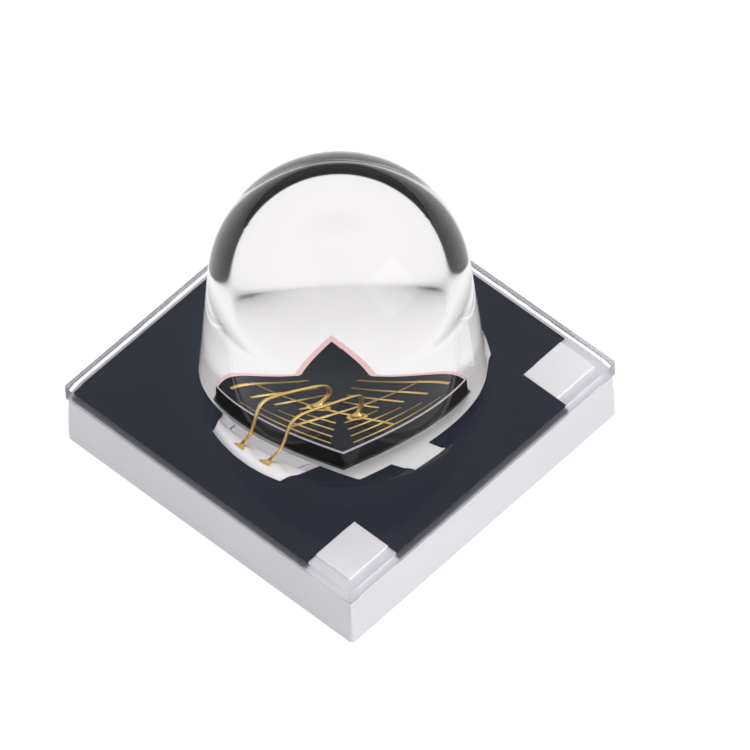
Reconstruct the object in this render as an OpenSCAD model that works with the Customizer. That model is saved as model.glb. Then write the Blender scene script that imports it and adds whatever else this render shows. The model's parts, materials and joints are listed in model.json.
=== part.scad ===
// High-power infrared emitter in a ceramic surface-mount package:
// a square ceramic plate with plated conductors and a dark coating, one square
// chip with two gold bond wires, and a clear silicone dome moulded over the top.
// Millimetres. The origin is the centre of the mounting plane, +Z points up
// through the dome. The bond wires run from the chip towards -Y.

/* [Ceramic plate] */
// Side of the square plate at its underside
plate_side = 3.45; // [3.30:0.01:3.60]
// Thickness of the plate
plate_t = 0.565; // [0.45:0.005:0.70]
// How far each side leans in between the underside and the top
plate_draft = 0.025; // [0.01:0.005:0.05]
// Width of the flat across each upright corner
plate_corner = 0.04; // [0.02:0.01:0.10]

/* [Silicone] */
// How far the silicone sheet stands out past the top of the plate
sheet_overhang = 0.025; // [0.01:0.005:0.05]
// Thickness of the silicone sheet at its edge
sheet_t = 0.17; // [0.13:0.005:0.25]
// Height of the dome's tip above the sheet
dome_rise = 2.39; // [2.10:0.01:2.60]
// Radius of the dome's round cap
dome_r = 1.16; // [1.10:0.01:1.25]
// Lean of the dome's skirt from upright, in degrees
skirt_lean = 5.2; // [2:0.1:7]
// Radius of the hollow fillet where the skirt meets the sheet
foot_r = 0.08; // [0.02:0.005:0.12]
// Offset of the dome's axis from the middle of the plate, towards +Y
dome_shift = 0.06; // [-0.10:0.01:0.10]

/* [Conductors on top] */
// Thickness of the plated conductors
metal_t = 0.03; // [0.02:0.005:0.05]
// Die pad beyond the chip, towards -X
die_margin_left = 0.37; // [0.20:0.01:0.45]
// Die pad beyond the chip, towards +X
die_margin_right = 0.25; // [0.10:0.01:0.35]
// Die pad beyond the chip, towards the bond pad
die_margin_front = 0.08; // [0.05:0.01:0.12]
// Coating left between the die pad's round edge behind the chip and the coating's outer edge
die_round_margin = 0.33; // [0.25:0.01:0.45]
// Where that round edge begins beside the chip, along Y
die_round_y = -0.30; // [-0.50:0.01:-0.10]
// Length of the tab on the die pad's +X edge
tab_length = 0.35; // [0.15:0.01:0.45]
// Width of that tab
tab_width = 0.35; // [0.20:0.01:0.50]
// Bare channel between the die pad and the bond pad
pad_gap = 0.16; // [0.08:0.01:0.20]
// Length of the bond pad's straight edge
bond_pad_length = 0.82; // [0.70:0.01:1.00]
// Depth of the bond pad from its straight edge to the top of its arc
bond_pad_depth = 0.46; // [0.40:0.01:0.52]
// Size of each bare corner pad along X
corner_pad_x = 0.40; // [0.25:0.01:0.45]
// Size of each bare corner pad along Y
corner_pad_y = 0.49; // [0.30:0.01:0.55]
// Bare band between a corner pad and the coating's outer edge
corner_band = 0.10; // [0.05:0.01:0.14]

/* [Dark coating] */
// Thickness of the coating
coat_t = 0.035; // [0.02:0.005:0.05]
// How far the coating stays back from the plate's top edge
coat_inset = 0.04; // [0.02:0.005:0.10]

/* [Chip] */
// Side of the square chip
chip_side = 1.065; // [0.95:0.005:1.10]
// Thickness of the chip's dark substrate
chip_t = 0.18; // [0.12:0.005:0.22]
// Thickness of the bonding layer below the chip
attach_t = 0.012; // [0.008:0.001:0.03]
// How far the bonding layer spreads past the chip
attach_spread = 0.02; // [0.01:0.005:0.04]
// Thickness of the chip's plated back contact
back_contact_t = 0.008; // [0.005:0.001:0.02]
// Thickness of the raised emitting layer
mesa_t = 0.012; // [0.008:0.001:0.02]
// Width of the pale edge around the emitting layer
edge_w = 0.018; // [0.010:0.001:0.040]

/* [Chip electrode] */
// Thickness of the gold pattern
gold_t = 0.008; // [0.005:0.001:0.015]
// Number of fingers across each arm
fingers = 4; // [2:1:5]
// Distance from one finger to the next
finger_pitch = 0.10; // [0.08:0.005:0.11]
// Width of a finger
finger_w = 0.018; // [0.010:0.001:0.030]
// Width of the crossed bars that feed the fingers
bar_w = 0.024; // [0.015:0.001:0.040]
// Distance from the outermost fingers to the edge of the emitting layer
finger_margin = 0.06; // [0.04:0.005:0.12]
// Half of a finger's length as a share of its distance from the middle
finger_fan = 0.76; // [0.50:0.01:0.85]
// Radius of the two round landing pads
landing_r = 0.058; // [0.045:0.001:0.070]
// Distance between the two landing pads
landing_pitch = 0.26; // [0.20:0.01:0.30]

/* [Bond wires] */
// Diameter of the gold wire
wire_d = 0.032; // [0.020:0.001:0.040]
// Radius of the ball on the chip
ball_r = 0.045; // [0.030:0.001:0.055]
// Height of that ball
ball_h = 0.035; // [0.025:0.001:0.050]
// Top of each loop above the chip
loop_rise = 0.29; // [0.22:0.01:0.40]
// How far the left wire leans back before it turns over
left_kink = 0.08; // [0.03:0.01:0.10]
// How far the right wire leans back before it turns over
right_kink = 0.035; // [0.02:0.005:0.10]
// Where the wire turns down, past the chip's edge
knee_reach = 0.05; // [0.03:0.01:0.10]
// Distance from the bond pad's straight edge to the wire's flattened end
foot_reach = 0.19; // [0.15:0.01:0.25]
// Width of the wire's flattened end
foot_w = 0.13; // [0.08:0.01:0.16]
// Distance between the two flattened ends
foot_pitch = 0.26; // [0.22:0.01:0.34]
// Sideways place of the middle of both flattened ends
foot_shift = -0.035; // [-0.08:0.005:0.08]

/* [Underside] */
// Thickness of the three solder lands
land_t = 0.03; // [0.02:0.005:0.06]
// Margin between the lands and the edge of the plate
land_margin = 0.12; // [0.08:0.01:0.20]
// Width of each electrical land
land_w = 0.78; // [0.70:0.01:0.80]
// Gap between neighbouring lands
land_gap = 0.26; // [0.20:0.01:0.40]
// Diameter of the filled vias through the plate
via_d = 0.14; // [0.10:0.01:0.16]
// Distance between the two vias of a pair
via_pitch = 0.50; // [0.30:0.01:0.60]
// Distance from the bond pad's straight edge to its vias
via_inset = 0.10; // [0.09:0.01:0.12]
// Distance from the chip to the middle of the two vias behind it
via_reach = 0.37; // [0.25:0.01:0.55]

/* [Hidden] */
$fn = 96;
big = 4 * plate_side;

// heights, from the mounting plane upwards
plate_z = land_t;
top_z = plate_z + plate_t;
metal_top = top_z + metal_t;
sheet_top = top_z + sheet_t;
back_contact_z = metal_top + attach_t;
substrate_z = back_contact_z + back_contact_t;
mesa_z = substrate_z + chip_t;
chip_top = mesa_z + mesa_t;
gold_top = chip_top + gold_t;

// plan of the plate, sheet and coating
plate_top_side = plate_side - 2 * plate_draft;
sheet_side = plate_top_side + 2 * sheet_overhang;
coat_side = plate_top_side - 2 * coat_inset;

// plan of the conductors on top
chip_half = chip_side / 2;
die_left = -chip_half - die_margin_left;
die_right = chip_half + die_margin_right;
die_front = -chip_half - die_margin_front;
tab_y = die_front + die_margin_right + die_margin_front;
bond_edge = die_front - pad_gap;
arc_r = bond_pad_depth - bond_edge;
bond_x = -0.5 * bond_pad_length + foot_shift;
die_round_r = coat_side / 2 - die_round_margin;
corner_outer = coat_side / 2 - corner_band;
front_corner_y = -corner_outer;
right_corner_y = corner_outer - corner_pad_y + corner_band / 2;

// dome: the skirt is tangent to the round cap above it and to the hollow fillet below
cap_z = sheet_top + dome_rise - dome_r;
skirt_foot_r = dome_r / cos(skirt_lean) + (cap_z - sheet_top) * tan(skirt_lean);
fillet_x = skirt_foot_r + foot_r * (1 / cos(skirt_lean) - tan(skirt_lean));

// electrode
mesa_side = chip_side - 2 * edge_w;
first_finger = mesa_side / 2 - finger_margin - (fingers - 1) * finger_pitch;
arm = mesa_side / 2 - finger_margin + finger_w / 2;

// underside and vias
land_outer = plate_side / 2 - land_margin;
land_inner = land_outer - land_w;
thermal_half = land_inner - land_gap;
front_via_y = bond_edge - via_inset - via_d / 2;
back_via_y = chip_half + via_reach;

// bond wires: rings of a flattened round section along a route in one upright
// plane, from the ball on the chip to the flattened end on the bond pad
ring_sides = 8;
foot_t = 0.4 * wire_d;
foot_y = bond_edge - foot_reach;
drop = gold_top - metal_top;
foot_length = 0.9 * foot_w;

// Route points: distance from the ball towards the foot, height above the gold
function wire_route(kink, reach) =
    let (knee = chip_half + knee_reach, lift = loop_rise - gold_t)
    [
        [0, 0],
        [0, ball_h * 0.3],
        [0, ball_h * 0.7],
        [0, ball_h],
        [-0.15 * kink, ball_h + 0.4 * wire_d],
        [-0.65 * kink, 0.32 * lift],
        [-kink, 0.50 * lift],
        [-kink, 0.72 * lift],
        [-0.80 * kink, 0.90 * lift],
        [-0.30 * kink, 0.99 * lift],
        [0.12 * knee, lift],
        [0.40 * knee, 0.97 * lift],
        [0.72 * knee, 0.93 * lift],
        [0.90 * knee, 0.85 * lift],
        [knee, 0.66 * lift],
        [knee + 0.12 * (reach - knee), 0.30 * lift],
        [knee + 0.26 * (reach - knee), -0.30 * drop],
        [knee + 0.44 * (reach - knee), -0.70 * drop],
        [reach - 0.95 * foot_length, -drop + 1.2 * wire_d],
        [reach - 0.55 * foot_length, -drop + 0.55 * foot_t + 0.06 * wire_d],
        [reach - 0.20 * foot_length, -drop + foot_t / 2],
        [reach + 0.25 * foot_length, -drop + foot_t / 2],
        [reach + 0.45 * foot_length, -drop + foot_t / 2]
    ];

// Half width and half thickness of the section at each route point
function wire_section(i, last) =
    i == 0 ? [0.80 * ball_r, 0.80 * ball_r] :
    i == 1 ? [ball_r, ball_r] :
    i == 2 ? [0.92 * ball_r, 0.92 * ball_r] :
    i == 3 ? [0.62 * ball_r, 0.62 * ball_r] :
    i == last ? [0.36 * foot_w, 0.40 * foot_t] :
    i == last - 1 ? [0.50 * foot_w, 0.50 * foot_t] :
    i == last - 2 ? [0.34 * foot_w, 0.50 * foot_t] :
    i == last - 3 ? [0.62 * wire_d, 0.60 * foot_t] :
    [wire_d / 2, wire_d / 2];

function unit(v) = v / norm(v);
// The ball stands upright and the foot lies flat; between them a ring halves the bend
function route_heading(route, i) =
    i <= 3 ? [0, 1] :
    i >= len(route) - 3 ? [1, 0] :
    unit(unit(route[i + 1] - route[i]) + unit(route[i] - route[i - 1]));

// One point of a ring, in the row's frame
function ring_point(start, along, side, p, heading, size, angle) =
    let (
        across = size[1] * cos(angle),
        out = size[0] * sin(angle),
        s = p[0] - heading[1] * across,
        h = p[1] + heading[0] * across
    )
    [start[0] + along[0] * s + side[0] * out, start[1] + along[1] * s + side[1] * out, gold_top + h];

// Shared shapes

// Points along an arc, ends included
function arc_points(centre, r, from, to, steps) =
    [
        for (i = [0:steps])
            let (a = from + (to - from) * i / steps)
            centre + r * [cos(a), sin(a)]
    ];

// A block that stands on z, centred on x and y
module slab(side_x, side_y, z, t) {
    translate([-side_x / 2, -side_y / 2, z])
        cube([side_x, side_y, t]);
}

// A block between two corners in plan
module patch(x0, x1, y0, y1, z, t) {
    translate([x0, y0, z])
        cube([x1 - x0, y1 - y0, t]);
}

// A rectangle between two corners in plan
module area(x0, x1, y0, y1) {
    translate([x0, y0])
        square([x1 - x0, y1 - y0]);
}

// Beside and before the chip, both pads under the dome end at one arc about
// the middle of the plate. Behind the chip the die pad has a wider round edge.
module die_pad_plan() {
    intersection() {
        union() {
            area(die_left, die_right, die_front, 0);
            area(0, die_right + tab_length, tab_y, tab_y + tab_width);
        }
        circle(r = arc_r);
    }
    intersection() {
        area(-die_round_r, die_right, die_round_y, die_round_r);
        circle(r = die_round_r);
    }
}

module bond_pad_plan() {
    intersection() {
        area(bond_x, bond_x + bond_pad_length, -arc_r, bond_edge);
        circle(r = arc_r);
    }
}

// A bar whose two long sides lean in towards the top
module leaning_bar() {
    rotate([90, 0, 0])
        linear_extrude(height = big, center = true)
            polygon([
                [-plate_side / 2, plate_z],
                [plate_side / 2, plate_z],
                [plate_top_side / 2, top_z],
                [-plate_top_side / 2, top_z]
            ]);
}

// Filled via from a solder land up to a conductor
module via(x, y) {
    translate([x, y, plate_z])
        cylinder(h = plate_t, d = via_d);
}

module vias() {
    for (side = [-1, 1]) {
        via(side * via_pitch / 2 + foot_shift, front_via_y);
        via(side * via_pitch / 2, back_via_y);
    }
}

// Corner pads lie inside open corners of the coating
module corner_pad(y0) {
    patch(corner_outer - corner_pad_x, corner_outer, y0, y0 + corner_pad_y, top_z, metal_t);
}

module bond_wire(side, kink) {
    start = [side * landing_pitch / 2, 0];
    end = [side * foot_pitch / 2 + foot_shift, foot_y];
    along = unit(end - start);
    across = [-along[1], along[0]];
    route = wire_route(kink, norm(end - start));
    last = len(route) - 1;
    rings = [
        for (i = [0:last], k = [0:ring_sides - 1])
            ring_point(start, along, across, route[i], route_heading(route, i),
                wire_section(i, last), k * 360 / ring_sides)
    ];
    walls = [
        for (i = [0:last - 1], k = [0:ring_sides - 1])
            let (a = i * ring_sides, n = (k + 1) % ring_sides)
            [a + k, a + n, a + ring_sides + n, a + ring_sides + k]
    ];
    caps = [
        [for (k = [ring_sides - 1:-1:0]) k],
        [for (k = [0:ring_sides - 1]) last * ring_sides + k]
    ];
    polyhedron(points = rings, faces = concat(walls, caps));
}

// Sub-parts

module ceramic_plate() {
    color([0.80, 0.79, 0.83])
        difference() {
            intersection() {
                leaning_bar();
                rotate([0, 0, 90])
                    leaning_bar();
                rotate([0, 0, 45])
                    slab(sqrt(2) * plate_side - plate_corner, sqrt(2) * plate_side - plate_corner, 0, top_z);
            }
            vias();
        }
}

module thermal_land() {
    color([0.93, 0.88, 0.70])
        slab(2 * land_outer, 2 * thermal_half, 0, land_t);
}

module front_land() {
    color([0.93, 0.88, 0.70])
        patch(-land_outer, land_outer, -land_outer, -land_inner, 0, land_t);
}

module back_land() {
    color([0.93, 0.88, 0.70])
        patch(-land_outer, land_outer, land_inner, land_outer, 0, land_t);
}

module front_via_left() {
    color([0.75, 0.45, 0.30])
        via(-via_pitch / 2 + foot_shift, front_via_y);
}

module front_via_right() {
    color([0.75, 0.45, 0.30])
        via(via_pitch / 2 + foot_shift, front_via_y);
}

module back_via_left() {
    color([0.75, 0.45, 0.30])
        via(-via_pitch / 2, back_via_y);
}

module back_via_right() {
    color([0.75, 0.45, 0.30])
        via(via_pitch / 2, back_via_y);
}

module die_pad() {
    color([0.93, 0.91, 0.93])
        translate([0, 0, top_z])
            linear_extrude(height = metal_t)
                die_pad_plan();
}

module bond_pad() {
    color([0.92, 0.90, 0.93])
        translate([0, 0, top_z])
            linear_extrude(height = metal_t)
                bond_pad_plan();
}

module front_corner_pad() {
    color([0.93, 0.91, 0.93])
        corner_pad(front_corner_y);
}

module right_corner_pad() {
    color([0.93, 0.91, 0.93])
        corner_pad(right_corner_y);
}

module dark_coating() {
    window = corner_outer - corner_pad_x;
    half = coat_side / 2;
    color([0.20, 0.21, 0.25])
        translate([0, 0, top_z])
            linear_extrude(height = coat_t)
                difference() {
                    square(coat_side, center = true);
                    // one opening for both pads and the channel between them
                    die_pad_plan();
                    bond_pad_plan();
                    area(bond_x, bond_x + bond_pad_length, bond_edge, die_front);
                    // open corners
                    area(window, half, -half, front_corner_y + corner_pad_y);
                    area(window, half, right_corner_y, half);
                }
}

module die_attach() {
    color([0.72, 0.72, 0.74])
        slab(chip_side + 2 * attach_spread, chip_side + 2 * attach_spread, metal_top, attach_t);
}

module chip_back_contact() {
    color([0.86, 0.72, 0.38])
        slab(chip_side, chip_side, back_contact_z, back_contact_t);
}

module chip_substrate() {
    color([0.08, 0.08, 0.09])
        slab(chip_side, chip_side, substrate_z, chip_t);
}

module chip_mesa() {
    color([0.17, 0.19, 0.22])
        slab(mesa_side, mesa_side, mesa_z, mesa_t);
}

// Pale protective film around the emitting layer
module chip_edge_film() {
    color([0.96, 0.82, 0.82])
        difference() {
            slab(chip_side, chip_side, mesa_z, mesa_t);
            slab(mesa_side, mesa_side, 0, big);
        }
}

module chip_electrode() {
    color([0.78, 0.58, 0.25])
        translate([0, 0, chip_top])
            linear_extrude(height = gold_t)
                union() {
                    for (turn = [0:90:270])
                        rotate(turn)
                            for (i = [0:fingers - 1])
                                let (x = first_finger + i * finger_pitch, half = finger_fan * x)
                                translate([x - finger_w / 2, -half])
                                    square([finger_w, 2 * half]);
                    square([2 * arm, bar_w], center = true);
                    square([bar_w, 2 * arm], center = true);
                    for (side = [-1, 1])
                        translate([side * landing_pitch / 2, 0])
                            circle(r = landing_r);
                }
}

module bond_wire_left() {
    color([0.83, 0.64, 0.30])
        bond_wire(-1, left_kink);
}

module bond_wire_right() {
    color([0.83, 0.64, 0.30])
        bond_wire(1, right_kink);
}

// Sheet and dome, before what they enclose is taken out
module lens_body() {
    slab(sheet_side, sheet_side, top_z, sheet_t);
    translate([0, dome_shift, 0])
        rotate_extrude()
            polygon(concat(
                [[0, sheet_top]],
                arc_points([fillet_x, sheet_top + foot_r], foot_r, 270, 180 + skirt_lean, 4),
                arc_points([0, cap_z], dome_r, skirt_lean, 90, 16)
            ));
}

module silicone_lens() {
    color([0.92, 0.93, 0.95, 0.35])
        difference() {
            lens_body();
            dark_coating();
            die_pad();
            bond_pad();
            front_corner_pad();
            right_corner_pad();
            die_attach();
            slab(chip_side, chip_side, metal_top, chip_top - metal_top);
            chip_electrode();
            bond_wire_left();
            bond_wire_right();
        }
}

ceramic_plate();
thermal_land();
front_land();
back_land();
front_via_left();
front_via_right();
back_via_left();
back_via_right();
die_pad();
bond_pad();
front_corner_pad();
right_corner_pad();
dark_coating();
die_attach();
chip_back_contact();
chip_substrate();
chip_edge_film();
chip_mesa();
chip_electrode();
bond_wire_left();
bond_wire_right();
silicone_lens();
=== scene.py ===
# %% [markdown]
# # A high-power infrared emitter, dressed for a close-up
#
# The part is a square ceramic plate with a dark coating, one chip with two gold
# wires, and a clear silicone dome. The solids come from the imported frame, at
# their real size. This script gives every surface its finish, makes the few
# pieces that need a finer mesh than the solids have, and lights the result.

# %% Frame and tools
import json
import math

import bmesh
import bpy
from mathutils import Matrix, Vector


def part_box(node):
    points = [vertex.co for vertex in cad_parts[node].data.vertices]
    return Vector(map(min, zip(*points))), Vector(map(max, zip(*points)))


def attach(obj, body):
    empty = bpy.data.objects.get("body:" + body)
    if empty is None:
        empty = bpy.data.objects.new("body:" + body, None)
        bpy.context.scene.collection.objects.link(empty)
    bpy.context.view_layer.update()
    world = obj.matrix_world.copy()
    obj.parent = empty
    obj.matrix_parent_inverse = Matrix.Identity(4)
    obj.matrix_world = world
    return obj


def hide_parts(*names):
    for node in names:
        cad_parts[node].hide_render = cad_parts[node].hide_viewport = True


MM = 0.001
WELD_GAP = 0.0005 * MM
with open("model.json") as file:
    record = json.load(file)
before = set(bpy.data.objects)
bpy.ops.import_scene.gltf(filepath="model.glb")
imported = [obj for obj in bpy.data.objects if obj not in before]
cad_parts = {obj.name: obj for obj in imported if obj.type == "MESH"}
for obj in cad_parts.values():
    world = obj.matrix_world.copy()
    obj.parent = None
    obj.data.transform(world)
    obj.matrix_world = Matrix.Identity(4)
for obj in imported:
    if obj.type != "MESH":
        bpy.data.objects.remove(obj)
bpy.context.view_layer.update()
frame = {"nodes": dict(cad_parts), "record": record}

# %% [markdown]
# ## Camera
#
# The photo is a long-lens shot from high above one corner. The part's edges stay
# nearly parallel, so the camera stands 100 mm away and the lens is very long.
# The view's middle is not the part's middle: the whole camera is slid sideways
# by the offset of the picture's centre, which needs no lens shift.

# %% Camera values
AZIMUTH = math.radians(44.347)
ELEVATION = math.radians(51.585)
ROLL = math.radians(-2.019)
DISTANCE = 100 * MM
PICTURE = 750
PIXELS_PER_MM = 113.64
LOOK_AT = Vector((0, 0, 1.03)) * MM
LOOK_PIXEL = (339.22, 355.09)
SENSOR = 36.0


def camera_axes(azimuth, elevation, roll):
    """Right, up and back directions of a camera that looks at the origin."""
    back = Vector((
        math.sin(azimuth) * math.cos(elevation),
        -math.cos(azimuth) * math.cos(elevation),
        math.sin(elevation),
    ))
    level = Vector((math.cos(azimuth), math.sin(azimuth), 0))
    upright = back.cross(level)
    right = level * math.cos(roll) + upright * math.sin(roll)
    return right, back.cross(right), back


# %% Camera
def make_camera():
    right, up, back = camera_axes(AZIMUTH, ELEVATION, ROLL)
    slide_x = (PICTURE / 2 - LOOK_PIXEL[0]) / PIXELS_PER_MM * MM
    slide_y = (LOOK_PIXEL[1] - PICTURE / 2) / PIXELS_PER_MM * MM
    eye = LOOK_AT + right * slide_x + up * slide_y + back * DISTANCE
    data = bpy.data.cameras.new("camera")
    data.sensor_width = SENSOR
    data.lens = PIXELS_PER_MM / MM * DISTANCE * SENSOR / PICTURE
    data.clip_start = 0.01
    data.clip_end = 10
    camera = bpy.data.objects.new("camera", data)
    turn = Matrix((right, up, back)).transposed().to_4x4()
    camera.matrix_world = Matrix.Translation(eye) @ turn
    bpy.context.collection.objects.link(camera)
    bpy.context.scene.camera = camera
    return camera


camera = make_camera()
bpy.context.scene.view_settings.view_transform = "Standard"
print("lens in mm:", round(camera.data.lens, 1))

# %% [markdown]
# ## Shader maths as plain expressions
#
# A material is a small sum: noise times a strength plus a base value. Wiring
# Math nodes by hand hides that sum, so a thin class wraps a socket and adds the
# node that each operator stands for. Every other node comes from one method.


# %% Shader helpers
class Value:
    """One number that flows through a material's nodes."""

    def __init__(self, finish, socket):
        self.finish = finish
        self.socket = socket

    def math(self, operation, first, second):
        node = self.finish.node("Math", {"operation": operation}, {0: first, 1: second})
        return self.finish.value(node)

    def __add__(self, other):
        return self.math("ADD", self, other)

    def __radd__(self, other):
        return self.math("ADD", other, self)

    def __sub__(self, other):
        return self.math("SUBTRACT", self, other)

    def __rsub__(self, other):
        return self.math("SUBTRACT", other, self)

    def __mul__(self, other):
        return self.math("MULTIPLY", self, other)

    def __rmul__(self, other):
        return self.math("MULTIPLY", other, self)


class Finish:
    """A material with one Principled shader."""

    def __init__(self, name):
        self.material = bpy.data.materials.new(name)
        self.material.use_nodes = True
        self.tree = self.material.node_tree
        self.shader = self.tree.nodes["Principled BSDF"]
        self.output = self.tree.nodes["Material Output"]
        self.place = self.node("TexCoord").outputs["Object"]

    def node(self, kind, settings=None, sockets=None):
        made = self.tree.nodes.new("ShaderNode" + kind)
        for key, setting in (settings or {}).items():
            setattr(made, key, setting)
        for key, given in (sockets or {}).items():
            self.feed(made.inputs[key], given)
        return made

    def feed(self, socket, given):
        if isinstance(given, Value):
            given = given.socket
        if isinstance(given, bpy.types.NodeSocket):
            self.tree.links.new(given, socket)
        else:
            socket.default_value = given

    def value(self, node, output=0):
        return Value(self, node.outputs[output])

    def set(self, **sockets):
        for key, given in sockets.items():
            self.feed(self.shader.inputs[key.replace("_", " ")], given)

    def noise(self, size_mm, detail=3.0, stretch=(1, 1, 1)):
        """Noise between 0 and 1 whose blotches are about size_mm across."""
        scale = 1 / (size_mm * MM)
        moved = self.node("Mapping", None, {"Vector": self.place, "Scale": [s * scale for s in stretch]})
        node = self.node("TexNoise", None, {"Vector": moved.outputs[0], "Scale": 1.0, "Detail": detail})
        return self.value(node, "Fac")

    def ramp(self, factor, stops):
        """A colour ramp: stops are (place, colour)."""
        node = self.node("ValToRGB", None, {"Fac": factor})
        elements = node.color_ramp.elements
        while len(elements) < len(stops):
            elements.new(1.0)
        for element, (place, colour) in zip(elements, stops):
            element.position = place
            element.color = (*colour, 1)
        return node.outputs["Color"]

    def bump(self, height, depth_mm, strength=1.0):
        node = self.node("Bump", None, {
            "Height": height,
            "Distance": depth_mm * MM,
            "Strength": strength,
        })
        self.set(Normal=node.outputs["Normal"])


def srgb(code):
    """A six-digit colour code as linear red, green and blue."""
    parts = [int(code[i:i + 2], 16) / 255 for i in (0, 2, 4)]
    return [p / 12.92 if p <= 0.04045 else ((p + 0.055) / 1.055) ** 2.4 for p in parts]


# %% [markdown]
# ## Finishes
#
# Fired ceramic is matt with a very fine grain. Plated silver is bright but not a
# mirror, apart from the die pad behind the chip, where it is smooth enough to
# throw the surroundings back through the dome. The coating is a matt navy film
# with a faint ripple. The chip's body is sawn, its emitting layer polished, and
# its edge film a pale pink. Noise in two sizes gives each one its grain and its
# slow change of tone, and one function serves all the metals.


# %% Ceramic
def ceramic_finish():
    finish = Finish("fired_ceramic")
    grain = finish.noise(0.02, 4.0)
    cloud = finish.noise(0.6, 2.0)
    tone = grain * 0.4 + cloud * 0.6
    finish.set(
        Base_Color=finish.ramp(tone, [(0.3, (0.74, 0.73, 0.77)), (0.7, (0.78, 0.77, 0.81))]),
        Roughness=0.55 + grain * 0.2,
        Specular_IOR_Level=0.35,
    )
    finish.bump(grain, 0.0004, 0.5)
    return finish.material


# %% Metals
def metal_finish(name, dark, light, rough, grain_mm, metallic=1.0):
    """Plated or drawn metal with a fine grain."""
    finish = Finish(name)
    grain = finish.noise(grain_mm, 3.0)
    cloud = finish.noise(0.25, 2.0)
    finish.set(
        Base_Color=finish.ramp(grain * 0.3 + cloud * 0.7, [(0.3, dark), (0.7, light)]),
        Metallic=metallic,
        Roughness=rough + grain * 0.08,
    )
    return finish.material


BACK_LEFT = (-0.707, 0.707, 0)
POLISH_FROM = 0.25 * MM
POLISH_TO = 0.55 * MM


def die_pad_finish():
    """Silver plating, matt round the chip and polished behind it."""
    finish = Finish("polished_silver")
    cloud = finish.noise(0.3, 2.0)
    across = finish.node("VectorMath", {"operation": "DOT_PRODUCT"}, {0: finish.place, 1: BACK_LEFT})
    polished = finish.value(finish.node("MapRange", {"interpolation_type": "SMOOTHSTEP"}, {
        "Value": across.outputs["Value"],
        "From Min": POLISH_FROM,
        "From Max": POLISH_TO,
    }))
    finish.set(
        Base_Color=finish.ramp(cloud, [(0.3, (0.97, 0.95, 0.96)), (0.7, (0.99, 0.97, 0.98))]),
        Metallic=0.7 + polished * 0.3,
        Roughness=0.5 - polished * 0.46,
    )
    return finish.material


# %% Coating
def coating_finish():
    finish = Finish("navy_coating")
    ripple = finish.noise(0.5, 2.0)
    speck = finish.noise(0.03, 2.0)
    finish.set(
        Base_Color=finish.ramp(ripple, [(0.3, (0.021, 0.024, 0.038)), (0.7, (0.024, 0.027, 0.043))]),
        Roughness=0.6 + speck * 0.2,
        Specular_IOR_Level=0.1,
    )
    return finish.material


# %% Chip
def substrate_finish():
    """Sawn flanks carry fine level lines."""
    finish = Finish("sawn_substrate")
    saw = finish.noise(0.05, 3.0, (0.3, 0.3, 6.0))
    finish.set(
        Base_Color=finish.ramp(saw, [(0.3, srgb("070708")), (0.7, srgb("161517"))]),
        Roughness=0.5 + saw * 0.2,
        Specular_IOR_Level=0.15,
    )
    return finish.material


def mesa_finish():
    finish = Finish("polished_mesa")
    cloud = finish.noise(0.3, 2.0)
    finish.set(
        Base_Color=finish.ramp(cloud, [(0.3, srgb("171B22")), (0.7, srgb("1D2128"))]),
        Roughness=0.4 + cloud * 0.1,
        Specular_IOR_Level=0.1,
    )
    return finish.material


def film_finish():
    """Pale grey along the front edges, pink along the two back ones."""
    finish = Finish("pale_edge_film")
    cloud = finish.noise(0.1, 2.0)
    back = finish.node("VectorMath", {"operation": "DOT_PRODUCT"}, {0: finish.place, 1: (-1, 1, 0)})
    share = finish.value(back, "Value") * (1 / MM) + 0.35 + cloud * 0.1
    finish.set(
        Base_Color=finish.ramp(share, [(0.0, srgb("B9B7C2")), (0.6, srgb("F6CCCC"))]),
        Roughness=0.35 + cloud * 0.1,
    )
    return finish.material


# %% Silicone
SILICONE_INDEX = 1.41


def silicone_finish(name, roughness, dark, light):
    """Silicone bends light by its index; lamps reach what it encloses."""
    finish = Finish(name)
    haze = finish.noise(0.4, 2.0)
    finish.set(
        Base_Color=finish.ramp(haze, [(0.3, dark), (0.7, light)]),
        Roughness=roughness,
        IOR=SILICONE_INDEX,
        Transmission_Weight=1.0,
        Specular_Tint=(0.4, 0.4, 0.4, 1),
    )
    lamp_ray = finish.node("LightPath").outputs["Is Shadow Ray"]
    clear = finish.node("BsdfTransparent", None, {"Color": (0.97, 0.97, 0.98, 1)})
    blend = finish.node("MixShader", None, {
        0: lamp_ray,
        1: finish.shader.outputs[0],
        2: clear.outputs[0],
    })
    finish.feed(finish.output.inputs["Surface"], blend.outputs[0])
    return finish.material


# %% Finishes by slot
FINISHES = {
    "ceramic": ceramic_finish(),
    "silver_plating": metal_finish("silver_plating", (0.96, 0.93, 0.96), (0.99, 0.96, 0.99), 0.28, 0.05),
    "land_plating": metal_finish("land_plating", (0.80, 0.70, 0.45), (0.92, 0.83, 0.60), 0.3, 0.02),
    "via_copper": metal_finish("via_copper", (0.65, 0.30, 0.18), (0.80, 0.42, 0.28), 0.35, 0.02),
    "attach_silver": metal_finish("attach_silver", (0.10, 0.10, 0.11), (0.20, 0.20, 0.21), 0.5, 0.008),
    "gold": metal_finish("bright_gold", srgb("CFA24C"), srgb("F0D48C"), 0.25, 0.02),
    "dark_coating": coating_finish(),
    "substrate": substrate_finish(),
    "mesa": mesa_finish(),
    "edge_film": film_finish(),
    "silicone": silicone_finish("clear_silicone", 0.0, (0.985, 0.985, 0.99), (0.99, 0.99, 0.995)),
}
DIE_PAD = die_pad_finish()
SAWN_SILICONE = silicone_finish("sawn_silicone", 0.35, (0.86, 0.86, 0.90), (0.90, 0.90, 0.94))
# The chip's back contact gets near-black gold: painted shade where the chip's foot sits in shadow, so no
# bright gold line shows under it.
BACK_GOLD_PAINTED_SHADE = metal_finish("back_gold_painted_shade", (0.10, 0.085, 0.06), (0.16, 0.135, 0.09), 0.5, 0.02)
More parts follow.
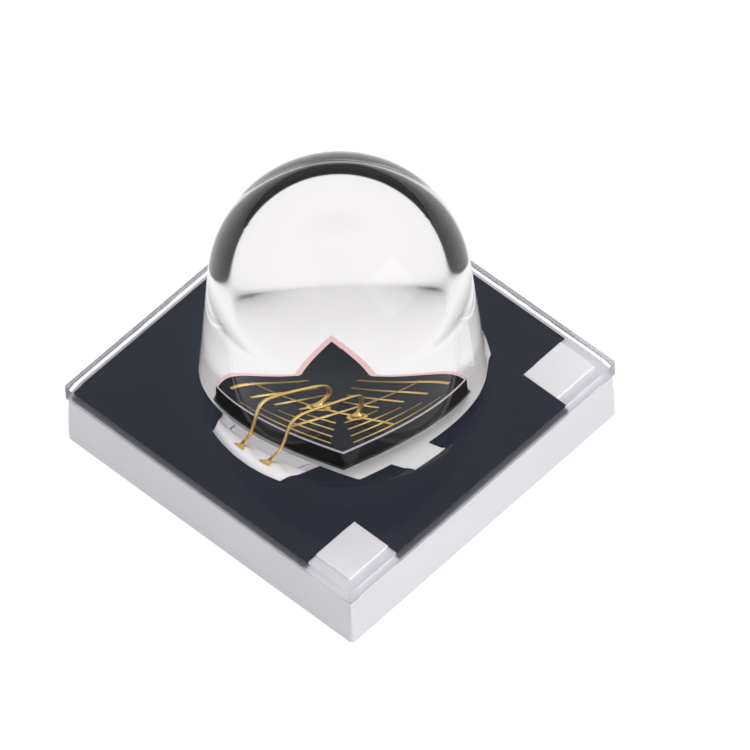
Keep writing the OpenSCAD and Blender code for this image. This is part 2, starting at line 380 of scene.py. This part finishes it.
MATT_SILVER = metal_finish("matt_silver", (0.97, 0.95, 0.97), (1.0, 0.98, 1.0), 0.35, 0.05, 0.3)
OWN_FINISH = {
    "die_pad": DIE_PAD,
    "chip_back_contact": BACK_GOLD_PAINTED_SHADE,
    "front_corner_pad": MATT_SILVER,
    "right_corner_pad": MATT_SILVER,
}
SLOTS = {row["node"]: row["material_slot"] for row in frame["record"]["subparts"]}
print("finishes:", len(FINISHES), "by slot and", len(OWN_FINISH), "pieces with their own")

# %% [markdown]
# ## The solids keep their shape
#
# Most solids are right as they are. Each gets its finish, and the plate and the
# pads get a very small rounded edge, because no fired or plated edge is a knife
# edge and the round catches a thin line of light. The solid's mesh is loose
# triangles, so a Weld modifier joins them before the Bevel can see an edge.

# %% Dress the solids
EDGE_ROUND_MM = {
    "ceramic_plate": 0.012,
    "die_pad": 0.006,
    "bond_pad": 0.006,
    "front_corner_pad": 0.006,
    "right_corner_pad": 0.006,
    "dark_coating": 0.004,
    "thermal_land": 0.006,
    "front_land": 0.006,
    "back_land": 0.006,
}


def paint(thing, material):
    thing.data.materials.clear()
    thing.data.materials.append(material)


def round_edges(thing, width):
    weld = thing.modifiers.new("weld", "WELD")
    weld.merge_threshold = WELD_GAP
    bevel = thing.modifiers.new("edge", "BEVEL")
    bevel.width = width
    bevel.segments = 3
    bevel.limit_method = "ANGLE"
    bevel.angle_limit = math.radians(40)


for name, thing in frame["nodes"].items():
    paint(thing, OWN_FINISH.get(name, FINISHES[SLOTS[name]]))
    if name in EDGE_ROUND_MM:
        round_edges(thing, EDGE_ROUND_MM[name] * MM)
print("solids with a rounded edge:", len(EDGE_ROUND_MM))


# %% [markdown]
# ## The silicone
#
# Sheet and dome are one moulding. What shows inside is drawn by refraction, so
# the surface has to be far smoother than the solid's mesh. The outline is turned
# round the dome's axis, and the ring at the foot is joined to the square edge by
# points that lie in the same directions. The pads, the chip and the wires sit
# inside this body, with no air between, as they do in the real moulding.

# %% Silicone sizes
DOME_SHIFT = 0.04 * MM
SHEET_T = 0.17 * MM
DOME_R = 1.16 * MM
SKIRT_LEAN = math.radians(5.2)
FOOT_R = 0.08 * MM
SHEET_EDGE_R = 0.012 * MM
SHEET_CORNER_R = 0.03 * MM
CORNER_STEPS = 7
AROUND = 256
SINK = 0.001 * MM

lens_low, lens_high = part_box("silicone_lens")
SHEET_HALF = lens_high.x
SHEET_LOW = lens_low.z
SHEET_TOP = SHEET_LOW + SHEET_T
CAP_Z = lens_high.z - DOME_R
print("sheet top and cap centre in mm:", round(SHEET_TOP / MM, 3), round(CAP_Z / MM, 3))


def arc(centre, radius, start, end, steps):
    """Points along an arc, ends included, in the plane of radius and height."""
    angles = [start + (end - start) * i / steps for i in range(steps + 1)]
    return [(centre[0] + radius * math.cos(a), centre[1] + radius * math.sin(a)) for a in angles]


def line(start, end, steps):
    """Points between two ends, ends left out."""
    shares = [i / steps for i in range(1, steps)]
    return [(start[0] + (end[0] - start[0]) * s, start[1] + (end[1] - start[1]) * s) for s in shares]


def dome_outline():
    """From the sheet up the fillet, the skirt and the cap, to just below the tip."""
    lean = SKIRT_LEAN
    foot = DOME_R / math.cos(lean) + (CAP_Z - SHEET_TOP) * math.tan(lean)
    fillet_x = foot + FOOT_R * (1 / math.cos(lean) - math.tan(lean))
    fillet = arc((fillet_x, SHEET_TOP + FOOT_R), FOOT_R, 1.5 * math.pi, math.pi + lean, 8)
    cap = arc((0, CAP_Z), DOME_R, lean, math.pi / 2, 64)[:-1]
    return fillet + line(fillet[-1], cap[0], 16) + cap


def square_ring(half, height):
    """Points along a square with small round corners, AROUND in all."""
    side_points = AROUND // 4 - CORNER_STEPS - 1
    inner = half - SHEET_CORNER_R
    points = []
    for quarter in range(4):
        turn = Matrix.Rotation(quarter * math.pi / 2, 2)
        bend = arc((inner, inner), SHEET_CORNER_R, 0, math.pi / 2, CORNER_STEPS)
        straight = line((inner, half), (-inner, half), side_points + 1)
        points += [(turn @ Vector(p)).to_3d() + Vector((0, 0, height)) for p in bend + straight]
    return points


# %% Silicone mesh
def make_lens():
    axis = Vector((0, DOME_SHIFT, 0))
    edge_top = arc((SHEET_HALF - SHEET_EDGE_R, SHEET_TOP - SHEET_EDGE_R), SHEET_EDGE_R, math.pi / 2, 0, 3)
    edge_low = arc((SHEET_HALF - SHEET_EDGE_R, SHEET_LOW + SHEET_EDGE_R), SHEET_EDGE_R, 0, -math.pi / 2, 3)
    edge_low[-1] = (edge_low[-1][0], SHEET_LOW - SINK)
    rings = [square_ring(half, height) for half, height in reversed(edge_top + edge_low)]
    reach = [(p - axis).to_2d() for p in square_ring(SHEET_HALF, 0)]
    headings = [r.normalized() for r in reach]
    for radius, height in dome_outline():
        rings.append([Vector((h.x * radius, h.y * radius + DOME_SHIFT, height)) for h in headings])

    made = bmesh.new()
    rows = [[made.verts.new(p) for p in ring] for ring in rings]
    base = made.verts.new(Vector((0, 0, SHEET_LOW - SINK)))
    tip = made.verts.new(Vector((0, DOME_SHIFT, lens_high.z)))
    for k in range(AROUND):
        n = (k + 1) % AROUND
        made.faces.new((base, rows[0][n], rows[0][k]))
        made.faces.new((tip, rows[-1][k], rows[-1][n]))
        for low, high in zip(rows, rows[1:]):
            made.faces.new((low[k], low[n], high[n], high[k]))
    return finish_mesh("lens", made, 30)


def finish_mesh(name, made, sharp_degrees):
    """A bmesh as a new smooth object, with normals pointing out and sharp edges kept."""
    bmesh.ops.recalc_face_normals(made, faces=made.faces)
    mesh = bpy.data.meshes.new(name)
    made.to_mesh(mesh)
    made.free()
    mesh.polygons.foreach_set("use_smooth", [True] * len(mesh.polygons))
    mesh.set_sharp_from_angle(angle=math.radians(sharp_degrees))
    thing = bpy.data.objects.new(name, mesh)
    bpy.context.collection.objects.link(thing)
    return thing


UPRIGHT = 0.1

lens = make_lens()
paint(lens, FINISHES["silicone"])
lens.data.materials.append(SAWN_SILICONE)
for face in lens.data.polygons:
    face.material_index = int(abs(face.normal.z) < UPRIGHT and face.center.z < SHEET_TOP)
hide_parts("silicone_lens")
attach(lens, "root")
print("lens faces:", len(lens.data.polygons))

# %% [markdown]
# ## The gold wires
#
# The solid wires have eight sides, which the dome would magnify into facets.
# A copy of each solid is welded, its triangles are joined to quads again, and
# one Subdivision Surface turns the rings into smooth round wire, ball and foot.
# The copy is trimmed a little first, because the solid's wire looks too thick
# once the dome has magnified it.


# %% Wires
WIRE_TRIM = 0.002 * MM
WIRE_LEVELS = 2


def smooth_copy(node, name):
    """A welded, trimmed and subdivided copy of a solid's mesh."""
    made = bmesh.new()
    made.from_mesh(frame["nodes"][node].data)
    bmesh.ops.remove_doubles(made, verts=made.verts, dist=WELD_GAP)
    bmesh.ops.join_triangles(
        made,
        faces=made.faces,
        angle_face_threshold=math.radians(60),
        angle_shape_threshold=math.radians(180),
    )
    made.normal_update()
    for vertex in made.verts:
        vertex.co -= vertex.normal * WIRE_TRIM
    thing = finish_mesh(name, made, 180)
    rounder = thing.modifiers.new("rounder", "SUBSURF")
    rounder.levels = WIRE_LEVELS
    rounder.render_levels = WIRE_LEVELS
    return thing


for side in ("left", "right"):
    wire = smooth_copy(f"bond_wire_{side}", f"gold_wire_{side}")
    paint(wire, FINISHES["gold"])
    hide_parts(f"bond_wire_{side}")
    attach(wire, "root")
    print(side, "wire faces:", len(wire.data.polygons))

# %% [markdown]
# ## The chip's electrode
#
# Two crossed bars feed four nested sets of fingers. One finger is a flattened
# round bar. Geometry Nodes set it at each step along an arm, stretch it by its
# distance from the middle, and turn the finished arm four times, so that every
# size is one named input of the tree.

# %% Electrode sizes
gold_low, gold_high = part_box("chip_electrode")
FINGER_W = 0.018 * MM
BAR_W = 0.024 * MM
FINGER_PITCH = 0.10 * MM
FINGERS = 4
FINGER_FAN = 0.76
LANDING_R = 0.058 * MM
LANDING_PITCH = 0.26 * MM
ARM = gold_high.x
GOLD_T = gold_high.z - gold_low.z
print("electrode arm and thickness in mm:", round(ARM / MM, 4), round(GOLD_T / MM, 4))


# %% Geometry tree helpers
class Tree:
    """A geometry tree with named inputs."""

    def __init__(self, name):
        self.group = bpy.data.node_groups.new(name, "GeometryNodeTree")
        self.group.interface.new_socket("Geometry", in_out="OUTPUT", socket_type="NodeSocketGeometry")
        self.inlet = self.group.nodes.new("NodeGroupInput")
        self.outlet = self.group.nodes.new("NodeGroupOutput")

    def input(self, name, kind="Float"):
        self.group.interface.new_socket(name, in_out="INPUT", socket_type="NodeSocket" + kind)
        return self.inlet.outputs[name]

    def add(self, kind, settings=None, sockets=None):
        made = self.group.nodes.new(kind)
        for key, setting in (settings or {}).items():
            setattr(made, key, setting)
        for key, given in (sockets or {}).items():
            if isinstance(given, (list, tuple)) and given and isinstance(given[0], bpy.types.NodeSocket):
                for each in given:
                    self.group.links.new(each, made.inputs[key])
            elif isinstance(given, bpy.types.NodeSocket):
                self.group.links.new(given, made.inputs[key])
            else:
                made.inputs[key].default_value = given
        return made.outputs

    def math(self, operation, first, second):
        return self.add("ShaderNodeMath", {"operation": operation}, {0: first, 1: second})[0]

    def vector(self, x=0.0, y=0.0, z=0.0):
        return self.add("ShaderNodeCombineXYZ", None, {"X": x, "Y": y, "Z": z})[0]

    def build(self, name, values):
        """Runs the tree on an empty mesh and returns the result as a plain object."""
        host = bpy.data.objects.new(name, bpy.data.meshes.new(name))
        bpy.context.collection.objects.link(host)
        modifier = host.modifiers.new("tree", "NODES")
        modifier.node_group = self.group
        for item in self.group.interface.items_tree:
            if item.in_out == "INPUT" and item.name in values:
                modifier[item.identifier] = values[item.name]
        evaluated = host.evaluated_get(bpy.context.evaluated_depsgraph_get())
        mesh = bpy.data.meshes.new_from_object(evaluated)
        host.modifiers.remove(modifier)
        host.data = mesh
        mesh.name = name
        return host


# %% Electrode tree
def electrode_tree():
    tree = Tree("electrode")
    count = tree.input("Fingers", "Int")
    pitch = tree.input("Pitch")
    finger_w = tree.input("Finger width")
    bar_w = tree.input("Bar width")
    fan = tree.input("Fan")
    arm = tree.input("Arm")
    landing_r = tree.input("Landing radius")
    landing_gap = tree.input("Landing pitch")
    low = tree.input("Height")
    thick = tree.input("Thickness")
    material = tree.input("Material", "Material")

    def rod(half_length, width):
        """A flattened round bar along Y."""
        round_bar = tree.add("GeometryNodeMeshCylinder", None, {
            "Vertices": 16,
            "Radius": 1.0,
            "Depth": 2.0,
        })
        half_width = tree.math("MULTIPLY", width, 0.5)
        size = tree.vector(half_width, half_length, thick)
        laid = tree.add("GeometryNodeTransform", None, {
            "Geometry": round_bar["Mesh"],
            "Rotation": (math.pi / 2, 0, 0),
        })
        return tree.add("GeometryNodeTransform", None, {"Geometry": laid[0], "Scale": size})[0]

    # one arm's fingers: points along X, each stretched by its own distance
    steps = tree.math("SUBTRACT", count, 1)
    reach = tree.math("MULTIPLY", steps, pitch)
    outermost = tree.math("SUBTRACT", arm, tree.math("MULTIPLY", finger_w, 0.5))
    first = tree.math("SUBTRACT", outermost, reach)
    places = tree.add("GeometryNodeMeshLine", None, {
        "Count": count,
        "Start Location": tree.vector(first),
        "Offset": tree.vector(pitch),
    })
    where = tree.add("GeometryNodeInputPosition")[0]
    distance = tree.add("ShaderNodeSeparateXYZ", None, {0: where})["X"]
    stretch = tree.vector(1.0, tree.math("MULTIPLY", distance, fan), 1.0)
    fingers = tree.add("GeometryNodeInstanceOnPoints", None, {
        "Points": places["Mesh"],
        "Instance": rod(1.0, finger_w),
        "Scale": stretch,
    })["Instances"]

    # four turned copies of the arm
    spots = tree.add("GeometryNodeMeshLine", None, {"Count": 4, "Offset": (0.0, 0.0, 0.0)})
    index = tree.add("GeometryNodeInputIndex")[0]
    turn = tree.vector(0.0, 0.0, tree.math("MULTIPLY", index, math.pi / 2))
    arms = tree.add("GeometryNodeInstanceOnPoints", None, {
        "Points": spots["Mesh"],
        "Instance": fingers,
        "Rotation": turn,
    })["Instances"]

    # crossed bars and the two landing pads
    bar = rod(arm, bar_w)
    crossed = tree.add("GeometryNodeTransform", None, {
        "Geometry": bar,
        "Rotation": (0, 0, math.pi / 2),
    })[0]
    pad = tree.add("GeometryNodeMeshUVSphere", None, {"Segments": 48, "Rings": 16, "Radius": 1.0})
    pad_size = tree.vector(landing_r, landing_r, thick)
    half_gap = tree.math("MULTIPLY", landing_gap, 0.5)
    pads = [
        tree.add("GeometryNodeTransform", None, {
            "Geometry": pad["Mesh"],
            "Translation": tree.vector(tree.math("MULTIPLY", half_gap, sign)),
            "Scale": pad_size,
        })[0]
        for sign in (-1.0, 1.0)
    ]

    joined = tree.add("GeometryNodeJoinGeometry", None, {"Geometry": [arms, bar, crossed, *pads]})[0]
    lifted = tree.add("GeometryNodeTransform", None, {
        "Geometry": joined,
        "Translation": tree.vector(0.0, 0.0, low),
    })
    plain = tree.add("GeometryNodeRealizeInstances", None, {"Geometry": lifted[0]})[0]
    smooth = tree.add("GeometryNodeSetShadeSmooth", None, {"Geometry": plain})[0]
    dressed = tree.add("GeometryNodeSetMaterial", None, {"Geometry": smooth, "Material": material})[0]
    tree.group.links.new(dressed, tree.outlet.inputs["Geometry"])
    return tree


electrode = electrode_tree().build("gold_electrode", {
    "Fingers": FINGERS,
    "Pitch": FINGER_PITCH,
    "Finger width": FINGER_W,
    "Bar width": BAR_W,
    "Fan": FINGER_FAN,
    "Arm": ARM,
    "Landing radius": LANDING_R,
    "Landing pitch": LANDING_PITCH,
    "Height": gold_low.z,
    "Thickness": GOLD_T,
    "Material": FINISHES["gold"],
})
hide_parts("chip_electrode")
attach(electrode, "root")
print("electrode faces:", len(electrode.data.polygons))

# %% [markdown]
# ## Light
#
# The part stands on a pale floor in a white tent, with two weak soft lamps on its
# visible sides. The stronger lamp is on the side of the two open corners and
# makes that side of the plate the lighter one. The floor shows as white to the
# camera, and also in metal and glass, and still keeps the part's shadow.
#
# The tent is dimmer near the table, and has one round dark opening. The polished
# pad and the dome's wall send part of the view back out towards that opening, and
# this draws a dark arch in the dome. Its place and size were found by trial for
# the photo's angle. They belong to the lighting and not to the part.

# %% Floor
FLOOR_HALF = 400 * MM


def make_floor():
    """One pale square, far wider than the part."""
    mesh = bpy.data.meshes.new("floor")
    h = FLOOR_HALF
    mesh.from_pydata([(-h, -h, 0), (h, -h, 0), (h, h, 0), (-h, h, 0)], [], [(0, 1, 2, 3)])
    floor = bpy.data.objects.new("floor", mesh)
    bpy.context.collection.objects.link(floor)
    finish = Finish("pale_floor")
    finish.set(Base_Color=(0.9, 0.9, 0.9, 1), Roughness=0.9, Specular_IOR_Level=0.0)
    return floor, finish


FLOOR_WHITE = 0.85
FLOOR_GLOW = 1.1


def white_share(finish):
    """Most of the floor shows as plain white to the camera and to what mirrors or bends light."""
    path = finish.node("LightPath")
    camera_ray = finish.value(path, "Is Camera Ray")
    glossy_ray = finish.value(path, "Is Glossy Ray")
    bent_ray = finish.value(path, "Is Transmission Ray")
    return (camera_ray + glossy_ray + bent_ray) * FLOOR_WHITE


floor, floor_finish = make_floor()
glow = floor_finish.node("Emission", None, {"Color": (1, 1, 1, 1), "Strength": FLOOR_GLOW})
mixed = floor_finish.node("MixShader", None, {
    0: white_share(floor_finish),
    1: floor_finish.shader.outputs[0],
    2: glow.outputs[0],
})
floor_finish.feed(floor_finish.output.inputs["Surface"], mixed.outputs[0])
paint(floor, floor_finish.material)
print("floor side in mm:", round(2 * FLOOR_HALF / MM))

# %% World
TENT_TOP = 0.96
TENT_FOOT = 0.46
TENT_RAMP = (math.sin(math.radians(27)), math.sin(math.radians(50)))
OPENING_AZIMUTH = math.radians(42)
OPENING_ELEVATION = math.radians(50)
OPENING_INNER = math.radians(13.5)
OPENING_OUTER = math.radians(18.5)


def make_world():
    """A white tent, dimmer near the table and dark in its one opening."""
    world = bpy.data.worlds.new("tent")
    bpy.context.scene.world = world
    world.use_nodes = True
    tree = world.node_tree
    background = tree.nodes["Background"]

    def node(kind, sockets, operation=None):
        made = tree.nodes.new("ShaderNode" + kind)
        if operation:
            made.operation = operation
        for key, given in sockets.items():
            if isinstance(given, bpy.types.NodeSocket):
                tree.links.new(given, made.inputs[key])
            else:
                made.inputs[key].default_value = given
        return made.outputs

    direction = node("TexCoord", {})["Generated"]
    light = node("MapRange", {
        "Value": node("SeparateXYZ", {"Vector": direction})["Z"],
        "From Min": TENT_RAMP[0],
        "From Max": TENT_RAMP[1],
        "To Min": TENT_FOOT,
        "To Max": TENT_TOP,
    })[0]
    towards = camera_axes(OPENING_AZIMUTH, OPENING_ELEVATION, 0)[2]
    share = node("MapRange", {
        "Value": node("VectorMath", {0: direction, 1: towards}, "DOT_PRODUCT")["Value"],
        "From Min": math.cos(OPENING_OUTER),
        "From Max": math.cos(OPENING_INNER),
        "To Min": 1.0,
        "To Max": 0.0,
    })[0]
    light = node("Math", {0: light, 1: share}, "MULTIPLY")[0]
    camera_ray = node("LightPath", {})["Is Camera Ray"]
    strength = node("Math", {0: light, 1: camera_ray}, "MAXIMUM")[0]
    tree.links.new(strength, background.inputs["Strength"])
    background.inputs["Color"].default_value = (1, 1, 1, 1)


make_world()
print("tent strength at foot and top:", TENT_FOOT, TENT_TOP)


# %% Lamps
LAMP_ELEVATION = math.radians(30)
LAMP_DISTANCE = 60 * MM
LAMP_SIDE = 40 * MM


def soft_lamp(name, azimuth, power):
    """A square lamp that faces the part from a given side."""
    right, up, back = camera_axes(math.radians(azimuth), LAMP_ELEVATION, 0)
    data = bpy.data.lights.new(name, "AREA")
    data.shape = "SQUARE"
    data.size = LAMP_SIDE
    data.energy = power
    lamp = bpy.data.objects.new(name, data)
    turn = Matrix((right, up, back)).transposed().to_4x4()
    lamp.matrix_world = Matrix.Translation(back * LAMP_DISTANCE) @ turn
    bpy.context.collection.objects.link(lamp)
    return lamp


for name, azimuth, power in (("key", 100, 0.014), ("fill", 0, 0.003)):
    lamp = soft_lamp(name, azimuth, power)
    print(lamp.name, "lamp in watts:", power)
